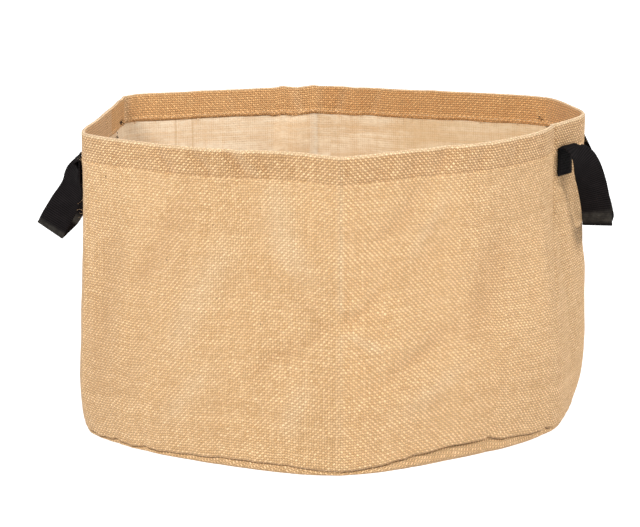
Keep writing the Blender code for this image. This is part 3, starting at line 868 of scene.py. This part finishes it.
chance = random.Random(21)
points = []
faces = []
edge_radii, edge_heights = wall_rows[-1]
for _ in range(EDGE_FIBRES):
    angle = chance.uniform(0, 2 * math.pi)
    root = wall_place(angle, edge_radii - EDGE_ROOT, edge_heights)
    direction = beside(angle) * chance.uniform(-1.2, 1.2) - away(angle) * chance.uniform(0.02, 0.35)
    direction += Vector((0, 0, chance.uniform(-1.0, -0.1)))
    short = chance.random() < YARN_END_SHARE
    length = chance.uniform(0.0025, 0.005) if short else chance.uniform(0.004, 0.012)
    radius = YARN_END_RADIUS if short else FIBRE_RADIUS * chance.uniform(0.8, 1.5)
    loose_thread(points, faces, root, direction, length, radius, EDGE_CURL, chance)
first_hem_row = len(LOW_ROWS) + WALL_ROWS
for number in range(WALL_FIBRES):
    near_strap = number < STRAP_FIBRES
    angle = math.radians(chance.uniform(*(STRAP_FIBRE_ANGLES if near_strap else (0, 360))))
    row = chance.randrange(len(LOW_ROWS), first_hem_row + len(HEM_DOWNS) - 1)
    if near_strap:
        row = chance.randrange(first_hem_row - STRAP_ROWS_DOWN, first_hem_row + STRAP_ROWS_UP)
    root = wall_place(angle, wall_rows[row][0] - WALL_ROOT, wall_rows[row][1])
    direction = beside(angle) * chance.uniform(-1, 1) + away(angle) * chance.uniform(0.15, 0.7)
    direction += Vector((0, 0, chance.uniform(-0.8, 0.8)))
    length = chance.uniform(0.003, 0.009)
    radius = FIBRE_RADIUS * WALL_FIBRE_SHARE
    loose_thread(points, faces, root, direction, length, radius, WALL_CURL, chance)

# Dark bits of bark that were spun into the yarn: the angle and height of each.
FLECKS = ((330.2, 0.227), (341.9, 0.245), (332.0, 0.159), (343.1, 0.138), (318.0, 0.190),
          (21.4, 0.229), (49.1, 0.176), (28.4, 0.085), (355.3, 0.098), (75.0, 0.205),
          (110.0, 0.120), (141.0, 0.214), (158.0, 0.092), (176.0, 0.171), (202.0, 0.131),
          (221.0, 0.236), (243.0, 0.075), (262.0, 0.185), (281.0, 0.110), (300.0, 0.262))
FLECK_LENGTH, FLECK_RADIUS, FLECK_CURL = 0.0015, 0.00050, 0.05
FLECK_STANDS_OUT = 0.0001
bark_points = []
bark_faces = []
for angle_deg, height in FLECKS:
    angle = math.radians(angle_deg)
    heights = np.full(COLUMNS, height)
    root = wall_place(angle, wall_radii(heights) + FLECK_STANDS_OUT, heights)
    direction = beside(angle) + Vector((0, 0, chance.uniform(-0.8, 0.8)))
    loose_thread(bark_points, bark_faces, root, direction, FLECK_LENGTH, FLECK_RADIUS, FLECK_CURL,
                 chance)
bark = thread_finish("bark", (0.16, 0.085, 0.040), (0.050, 0.026, 0.012))
threads_piece("bark_flecks", bark_points, bark_faces, bark)
fibre = thread_finish("loose jute fibre", (0.90, 0.68, 0.43), (0.66, 0.42, 0.21))
threads_piece("loose_fibres", points, faces, fibre)


# The base
# One round piece of the same jute. Its edge turns up round the bag's foot to the seam, so that a
# strip of it shows under the wall. Its underside lies flat on the floor.

BASE_GAP = 0.0005
EDGE_INSET = 0.0029
# The base follows the wall's puckers by this share.
FOOT_PINCH = 0.4
# The strip that shows, from the seam down: shares of the seam's height, and of how far it bulges.
STRIP = ((1.0, 0.0), (0.82, 0.35), (0.6, 0.75), (0.4, 1.0), (0.25, 0.9))
STRIP_BULGE = 0.0008
# The heel rounds the strip in to the floor: how far in from the foot, further where the seam is
# high, from which share of the seam's height, how far it swells over the strip, and its steps.
HEEL_INSET, HEEL_LEAN = 0.0044, 0.1
HEEL_TOP, HEEL_SWELL, HEEL_STEPS = 0.25, 0.0003, 5
BASE_RINGS = 26

foot_radii = wall_radii(seam_heights + SEAM_ROLL) + pucker_pinch * FOOT_PINCH
base_top = seam_heights - BASE_GAP
base_rows = []
for share, bulge in STRIP:
    radii = foot_radii - EDGE_INSET + (bulge - 0.5) * STRIP_BULGE
    base_rows.append((radii, base_top * share))
heel_radii = foot_radii - HEEL_INSET - HEEL_LEAN * seam_heights
for step in range(1, HEEL_STEPS + 1):
    turn = math.pi / 2 * step / HEEL_STEPS
    shift = (foot_radii - EDGE_INSET + HEEL_SWELL - heel_radii) * (1 - math.sin(turn))
    heights = base_top * HEEL_TOP * (1 - math.sin(turn))
    base_rows.append((heel_radii + shift * math.cos(turn), heights))
for step in range(1, BASE_RINGS):
    base_rows.append((heel_radii * (1 - step / BASE_RINGS), np.zeros(COLUMNS)))


def disc_mesh(name, rows):
    """A round sheet from rings of radii and heights, from its edge in to its middle."""
    points = ring_points(rows)
    spots = np.array(points).reshape(len(rows), COLUMNS, 3)
    climbs = np.linalg.norm(np.diff(spots, axis=0), axis=2)
    inward = spots[-1, :, :2] - np.array(BAG_MIDDLE.xy)
    lengths = [np.linalg.norm(inward, axis=1)]
    for climb in climbs[::-1]:
        lengths.append(lengths[-1] + climb)
    lengths = np.array(lengths[::-1])
    directions = np.stack([np.sin(column_angles), -np.cos(column_angles)], 1)
    maps = lengths[:, :, None] * directions[None]
    points.append((BAG_MIDDLE.x, BAG_MIDDLE.y, 0.0))
    maps = np.concatenate([maps.reshape(-1, 2), [[0.0, 0.0]]])
    faces = band_faces(len(rows), COLUMNS)
    last = (len(rows) - 1) * COLUMNS
    for column in range(COLUMNS):
        faces.append((last + column, len(points) - 1, last + (column + 1) % COLUMNS))
    threads = [value for face in faces for corner in face for value in maps[corner]]
    return new_piece(name, points, faces, threads)


base = disc_mesh("jute_base", base_rows)
# Its knuckles lean to both sides of its middle. The hem and the rim are past its edge, so none shows.
base.data.materials.append(jute_finish("jute base cloth", 0.0, 1.0, 2.0))
base.data.materials.append(lining)
thickened(base)

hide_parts("bag_base")
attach(base, "root")


# The handles
# Two loops of black ribbed webbing, 30 mm wide. Each end is folded up and sewn flat on the wall
# under the rim, and the loop springs out and hangs down of its own stiffness.

WEBBING_WIDTH = 0.030
WEBBING = 0.0015
RIB_PITCH = 0.0022
RIB_STEPS = 4
RIB_DEPTH = 0.00024
# The solid strap's rings of corners start at this height, where its two sewn ends begin.
SEWN_LOW_HEIGHT = 0.247
SAME_CORNER, SAME_HEIGHT = 0.00002, 0.0001
# The webbing's cross-section: places across from -1 to 1, and shares of half its thickness.
SECTION = ((-0.95, 1.0), (-0.6, 1.0), (-0.2, 1.0), (0.2, 1.0), (0.6, 1.0), (0.95, 1.0),
           (0.988, 0.6), (1.0, 0.0), (0.988, -0.6),
           (0.95, -1.0), (0.6, -1.0), (0.2, -1.0), (-0.2, -1.0), (-0.6, -1.0), (-0.95, -1.0),
           (-0.988, -0.6), (-1.0, 0.0), (-0.988, 0.6))


def strap_sections(node):
    """The strap's middle line, width and depth directions, section by section along the solid."""
    work = bmesh.new()
    work.from_mesh(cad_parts[node].data)
    bmesh.ops.remove_doubles(work, verts=work.verts, dist=SAME_CORNER)
    ends = [vertex for vertex in work.verts if abs(vertex.co.z - SEWN_LOW_HEIGHT) < SAME_HEIGHT]
    ends.sort(key=lambda vertex: vertex.co.y)
    layer = ends[:4]
    seen = set(layer)
    sections = []
    while layer:
        first = layer[0]
        partner = min(layer[1:], key=lambda vertex: (vertex.co - first.co).length)
        others = [vertex for vertex in layer if vertex not in (first, partner)]
        if (others[0].co - first.co).length > (others[1].co - first.co).length:
            others.reverse()
        middle = sum((vertex.co for vertex in layer), Vector()) / 4
        width = (others[0].co + others[1].co - first.co - partner.co).normalized()
        deep = (partner.co + others[1].co - first.co - others[0].co).normalized()
        if sections and width.dot(sections[-1][1]) < 0:
            width = -width
        if sections and deep.dot(sections[-1][2]) < 0:
            deep = -deep
        sections.append((middle, width, deep))
        following = {edge.other_vert(vertex) for vertex in layer for edge in vertex.link_edges}
        layer = sorted(following - seen, key=lambda vertex: vertex.index)
        seen |= set(layer)
    work.free()
    return sections


def curve_place(rows, spot):
    """A place on the smooth curve through some vectors, counted in vectors from the first."""
    last = len(rows) - 1
    low = min(int(spot), last - 1)
    part = spot - low
    before, start, end, after = (rows[min(max(low + step, 0), last)] for step in (-1, 0, 1, 2))
    bend = 2 * before - 5 * start + 4 * end - after
    twist = 3 * start - before - 3 * end + after
    return 0.5 * (2 * start + (end - before) * part + bend * part**2 + twist * part**3)


# How far each loop has settled towards the bag, at distances from its sewn ends, and how far the
# bottom of it hangs lower, which comes on between two such distances.
SETTLED = {
    "handle_right": ((0.028, 0.045, 0.09, 0.163), (0.0, 0.0008, 0.0022, 0.0052)),
    "handle_left": ((0.0292, 0.034, 0.044, 0.048, 0.052, 0.060, 0.066, 0.080, 0.163),
                    (0.0, 0.0030, 0.0031, 0.0017, 0.0005, 0.0003, 0.0014, 0.0022, 0.0008)),
}
SETTLED_TOWARDS = {"handle_right": -1.0, "handle_left": 1.0}
SETTLED_BLUR = 2.5
HANGS_LOWER = 0.0012
HANGS_FROM, HANGS_TO = 0.09, 0.15
# The left loop's top fold is pressed half flat above this height, past its sewn end.
FOLD_HEIGHT, FOLD_FROM_END, FOLD_SHARE = 0.266, 0.020, 0.5
# The last stretch of each end is pressed thin by the sewing, and the edges wave a little.
END_PRESSED, END_THICKNESS = 0.0015, 0.55
EDGE_WAVES, WAVES_PER_ROW, WAVES_FROM = 0.00012, 1.9, 0.9


def webbing_ring(row, middle, width, deep, from_end):
    """The corners of the webbing's section on one row, with how far across each of them lies."""
    rib = RIB_DEPTH * math.cos(2 * math.pi * row / RIB_STEPS)
    opened = min(from_end / END_PRESSED, 1.0)
    half = (WEBBING / 2 + rib) * (END_THICKNESS + (1 - END_THICKNESS) * opened)
    ring = []
    for aside, over in SECTION:
        wave = EDGE_WAVES * math.sin(row * WAVES_PER_ROW + aside)
        across = aside * WEBBING_WIDTH / 2 + (wave if abs(aside) > WAVES_FROM else 0.0)
        ring.append((middle + width * across + deep * (over * half), across))
    return ring


def strap(name, node, finish):
    """A strap of webbing along its solid, with its ribs, closed at both sewn ends."""
    sections = strap_sections(node)
    middles, widths, depths = (list(values) for values in zip(*sections))
    steps = [(after - before).length for before, after in zip(middles, middles[1:])]
    reached = np.concatenate([[0.0], np.cumsum(steps)])
    length = float(reached[-1])
    rows = round(length / RIB_PITCH * RIB_STEPS)
    from_ends = [min(row, rows - row) * length / rows for row in range(rows + 1)]
    settled = smoothed(np.interp(from_ends, *SETTLED[node]), SETTLED_BLUR, closed=False)
    points = []
    maps = []
    for row, from_end in enumerate(from_ends):
        distance = length * row / rows
        spot = float(np.interp(distance, reached, np.arange(len(reached))))
        middle = curve_place(middles, spot)
        middle.x += SETTLED_TOWARDS[node] * float(settled[row])
        middle.z -= HANGS_LOWER * float(np.interp(from_end, (HANGS_FROM, HANGS_TO), (0, 1)))
        if node == "handle_left" and middle.z > FOLD_HEIGHT and from_end > FOLD_FROM_END:
            middle.z = FOLD_HEIGHT + (middle.z - FOLD_HEIGHT) * FOLD_SHARE
        width = curve_place(widths, spot).normalized()
        deep = curve_place(depths, spot)
        deep = (deep - width * deep.dot(width)).normalized()
        for corner, across in webbing_ring(row, middle, width, deep, from_end):
            points.append(corner)
            maps.append((across, distance))
    around = len(SECTION)
    faces = band_faces(rows + 1, around)
    faces.append(tuple(range(around)))
    faces.append(tuple(reversed(range(rows * around, (rows + 1) * around))))
    threads = [value for face in faces for corner in face for value in maps[corner]]
    made = new_piece(name, points, faces, threads)
    work = bmesh.new()
    work.from_mesh(made.data)
    if work.calc_volume(signed=True) < 0:
        bmesh.ops.reverse_faces(work, faces=work.faces)
        work.to_mesh(made.data)
    work.free()
    made.data.materials.append(finish)
    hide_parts(node)
    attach(made, "root")
    return sections


# The webbing's blacks: painted shade in its furrows and painted light on its ribs, and the grey
# painted highlight on the bends at the bottom of each loop.
FURROW_SHADE_BLACK, RIB_LIGHT_BLACK = (0.0006, 0.0005, 0.0005), (0.0135, 0.0108, 0.0112)
BEND_HIGHLIGHT_BLACK = (0.044, 0.040, 0.034)
STRAP_LENGTH = 0.3264


def webbing_finish(name):
    """Black webbing: ribs across it with painted light on them and painted shade in the furrows, a fine
    twill, and a grey painted highlight on the bends at the bottom of the loop.
    """
    finish, shader, start = new_finish(name)
    place, across, upward = thread_map(start)
    twill = (across * 2600.0 + upward * 1400.0).maths("SINE") * 0.5 + 0.5
    # Painted light on the ribs and painted shade in the furrows between them.
    rib_light_share = (upward * (2 * math.pi / RIB_PITCH)).maths("COSINE") * 0.5 + 0.5
    mottling = place.noise(90.0, 3.0, 0.6).clear(0.35, 0.75)
    black = (rib_light_share * 0.70 + mottling * 0.2 + twill * 0.10).between(FURROW_SHADE_BLACK, RIB_LIGHT_BLACK)
    # A grey painted highlight on the bend at the bottom of each loop, made patchy by the mottling.
    bend = (upward - STRAP_LENGTH / 2).maths("ABSOLUTE").band(0.030, 0.036, 0.043, 0.050)
    black = black.mixed(bend * (0.35 + 0.65 * mottling), BEND_HIGHLIGHT_BLACK)
    fuzz = place.noise(2200.0, 2.0, 0.6)
    joined(shader, black, (twill * 0.5 + fuzz * 0.6).bump(0.8, 0.00025), 0.7, 0.05)
    return finish


webbing = webbing_finish("black webbing")
strap_runs = [strap("strap_right", "handle_right", webbing),
              strap("strap_left", "handle_left", webbing)]


# The handles' stitching
# Black thread holds each end of the webbing to the wall in a box with a cross in it. Tufts of the
# same thread, left when the sewing was cut off, cling to the turned-in side of the hem.

BOX_WIDTH = 0.021
BOX_FROM = 0.0045
BOX_LENGTH = 0.0165
BOX_STITCH = 0.0030
BOX_STITCH_GAP = 0.12
SEWING_RADIUS = 0.00034
STITCH_TAPER = 0.6
OFF_THE_WEBBING = 0.00005


def sewn_line(points, faces, begin, end, outward):
    """Adds the stitches of one straight seam on the webbing, from begin to end."""
    run = end - begin
    count = round(run.length / BOX_STITCH)
    thin = SEWING_RADIUS * STITCH_TAPER
    for stitch in range(count):
        start_at = begin + run * ((stitch + BOX_STITCH_GAP) / count)
        stop_at = begin + run * ((stitch + 1 - BOX_STITCH_GAP) / count)
        line = [start_at - outward * SEWING_RADIUS, start_at.lerp(stop_at, 0.25),
                start_at.lerp(stop_at, 0.75), stop_at - outward * SEWING_RADIUS]
        tube_mesh(points, faces, line, [thin, SEWING_RADIUS, SEWING_RADIUS, thin])


def crossed_box(points, faces, end, following):
    """Adds the box with a cross in it that is sewn on one end of a strap."""
    low, width, deep = end
    climb = (following[0] - low).normalized()
    radial = Vector((low.x - BAG_MIDDLE.x, low.y - BAG_MIDDLE.y, 0.0))
    outward = deep if deep.dot(radial) > 0 else -deep
    face = low + outward * (WEBBING / 2 + OFF_THE_WEBBING) + climb * BOX_FROM
    left_low = face - width * BOX_WIDTH / 2
    right_low = face + width * BOX_WIDTH / 2
    left_high = left_low + climb * BOX_LENGTH
    right_high = right_low + climb * BOX_LENGTH
    for begin, stop in ((left_low, right_low), (right_low, right_high), (right_high, left_high),
                        (left_high, left_low), (left_low, right_high), (right_low, left_high)):
        sewn_line(points, faces, begin, stop, outward)


points = []
faces = []
for sections in strap_runs:
    crossed_box(points, faces, sections[0], sections[1])
    crossed_box(points, faces, sections[-1], sections[-2])

# The tufts: the angle and height of each on the hem's inner side.
TUFTS = ((238.7, 0.278), (239.6, 0.2765), (245.1, 0.268), (124.6, 0.279), (122.6, 0.269))
TUFT_THREADS = 5
TUFT_SIDEWAYS, TUFT_UPWARD = 0.0035, 0.0012
TUFT_CURL = 0.45
chance = random.Random(33)
for angle_deg, height in TUFTS:
    hem_face = wall_radii(np.full(COLUMNS, height)) - HEM_THICKNESS - SEWING_RADIUS
    for _ in range(TUFT_THREADS):
        angle = math.radians(angle_deg) + chance.gauss(0, TUFT_SIDEWAYS)
        root_height = height + chance.gauss(0, TUFT_UPWARD)
        root = wall_place(angle, hem_face, np.full(COLUMNS, root_height))
        direction = beside(angle) * chance.uniform(-1, 1) + Vector((0, 0, chance.uniform(-1, 1)))
        direction -= away(angle) * 0.12
        length = chance.uniform(0.003, 0.007)
        loose_thread(points, faces, root, direction, length, SEWING_RADIUS, TUFT_CURL, chance)
black_thread = thread_finish("black sewing thread", (0.020, 0.016, 0.014), (0.004, 0.003, 0.003))
threads_piece("handle_stitches", points, faces, black_thread)


# The scene
# A plain pale floor that glows white away from the bag, four soft lamps round it, an even world and
# the camera at the photograph's place.

HALF_FLOOR = 14.0
FLOOR_GREY, NEAR_GLOW, FAR_GLOW = (0.36, 0.36, 0.36, 1.0), (0.84, 0.84, 0.84), (1.0, 1.0, 1.0)
GLOW_FROM, GLOW_TO = 0.4, 2.2

floor_points = [(-HALF_FLOOR, -HALF_FLOOR, 0), (HALF_FLOOR, -HALF_FLOOR, 0),
                (HALF_FLOOR, HALF_FLOOR, 0), (-HALF_FLOOR, HALF_FLOOR, 0)]
floor = new_piece("floor", floor_points, [(0, 1, 2, 3)])
floor_finish, floor_shader, start = new_finish("pale floor")
floor_shader.inputs["Base Color"].default_value = FLOOR_GREY
floor_shader.inputs["Roughness"].default_value = 0.9
floor_shader.inputs["Emission Strength"].default_value = 1.0
place = start.node("ShaderNodeTexCoord", None, None, 3)
distance = place.node("ShaderNodeVectorMath", {"operation": "LENGTH"}, {0: place}, 1)
glow = distance.clear(GLOW_FROM, GLOW_TO).between(NEAR_GLOW, FAR_GLOW)
start.tree.links.new(glow.socket, floor_shader.inputs["Emission Color"])
floor.data.materials.append(floor_finish)

world = bpy.data.worlds.new("studio")
bpy.context.scene.world = world
world.use_nodes = True
world.node_tree.nodes["Background"].inputs["Color"].default_value = (1.0, 1.0, 1.0, 1.0)
world.node_tree.nodes["Background"].inputs["Strength"].default_value = 0.24


def softbox(name, place, target, size, power):
    """A large square lamp that faces a target."""
    lamp = bpy.data.lights.new(name, "AREA")
    lamp.size = size
    lamp.energy = power
    made = bpy.data.objects.new(name, lamp)
    made.location = place
    made.rotation_euler = (Vector(target) - Vector(place)).to_track_quat("-Z", "Y").to_euler()
    bpy.context.scene.collection.objects.link(made)


softbox("front left softbox", (-1.25, -2.5, 2.3), (0, 0, 0.15), 0.9, 129)
softbox("right softbox", (2.75, -0.5, 2.0), (0, 0, 0.15), 0.9, 84)
softbox("left softbox", (-2.8, -0.2, 1.9), (0, 0, 0.15), 0.9, 5)
softbox("back softbox", (0.0, 3.0, 2.6), (0, 0, 0.1), 1.4, 71)

camera = bpy.data.cameras.new("camera")
camera.lens = 160.3125
camera.sensor_width = 36.0
camera_object = bpy.data.objects.new("camera", camera)
camera_object.location = (-0.01235, -2.82346, 0.7018)
camera_object.rotation_euler = (math.radians(79.0), 0.0, 0.0)
bpy.context.scene.collection.objects.link(camera_object)
bpy.context.scene.camera = camera_object
bpy.context.scene.view_settings.view_transform = "Standard"
